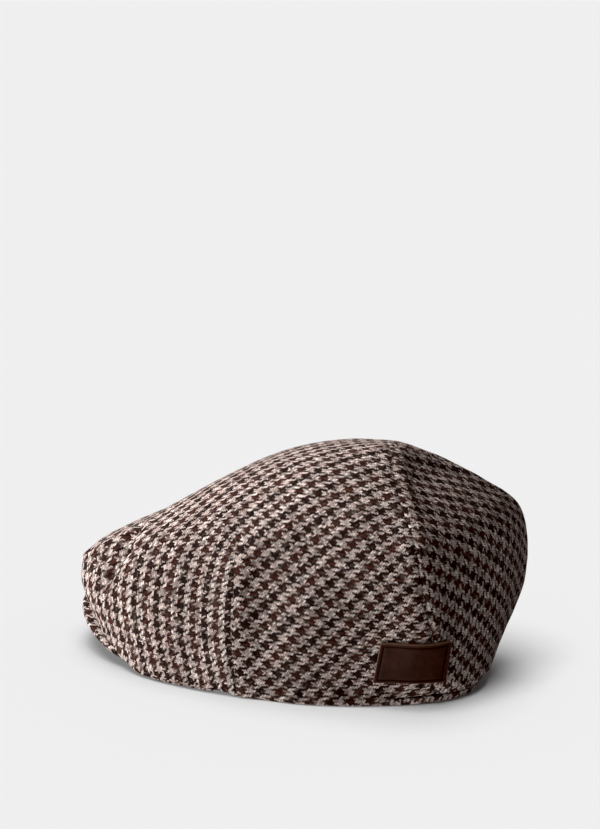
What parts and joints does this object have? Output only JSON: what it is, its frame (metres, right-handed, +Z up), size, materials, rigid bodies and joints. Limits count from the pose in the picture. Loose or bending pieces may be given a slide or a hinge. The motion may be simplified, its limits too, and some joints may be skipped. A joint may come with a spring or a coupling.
{
  "type": "flat cap",
  "caption": "Wool flat cap in a houndstooth check: a soft full crown with a rear gore, a stiff peak under its front, a hemmed rim and a bare leather patch.",
  "frame": {"origin": "middle of the cap's box, on the surface that the rim rests on", "axes": "+Z up towards the apex, -Y towards the front edge of the peak, +X towards the wearer's left"},
  "size_m": [0.1712, 0.282, 0.144],
  "materials": {
    "tweed": "soft brushed wool in a houndstooth check",
    "leather": "dark smooth leather with raw edges"
  },
  "bodies": {
    "root": {"crown_panel": "tweed", "back_panel": "tweed", "peak": "tweed", "rim_band": "tweed", "leather_patch": "leather"}
  },
  "joints": []
}
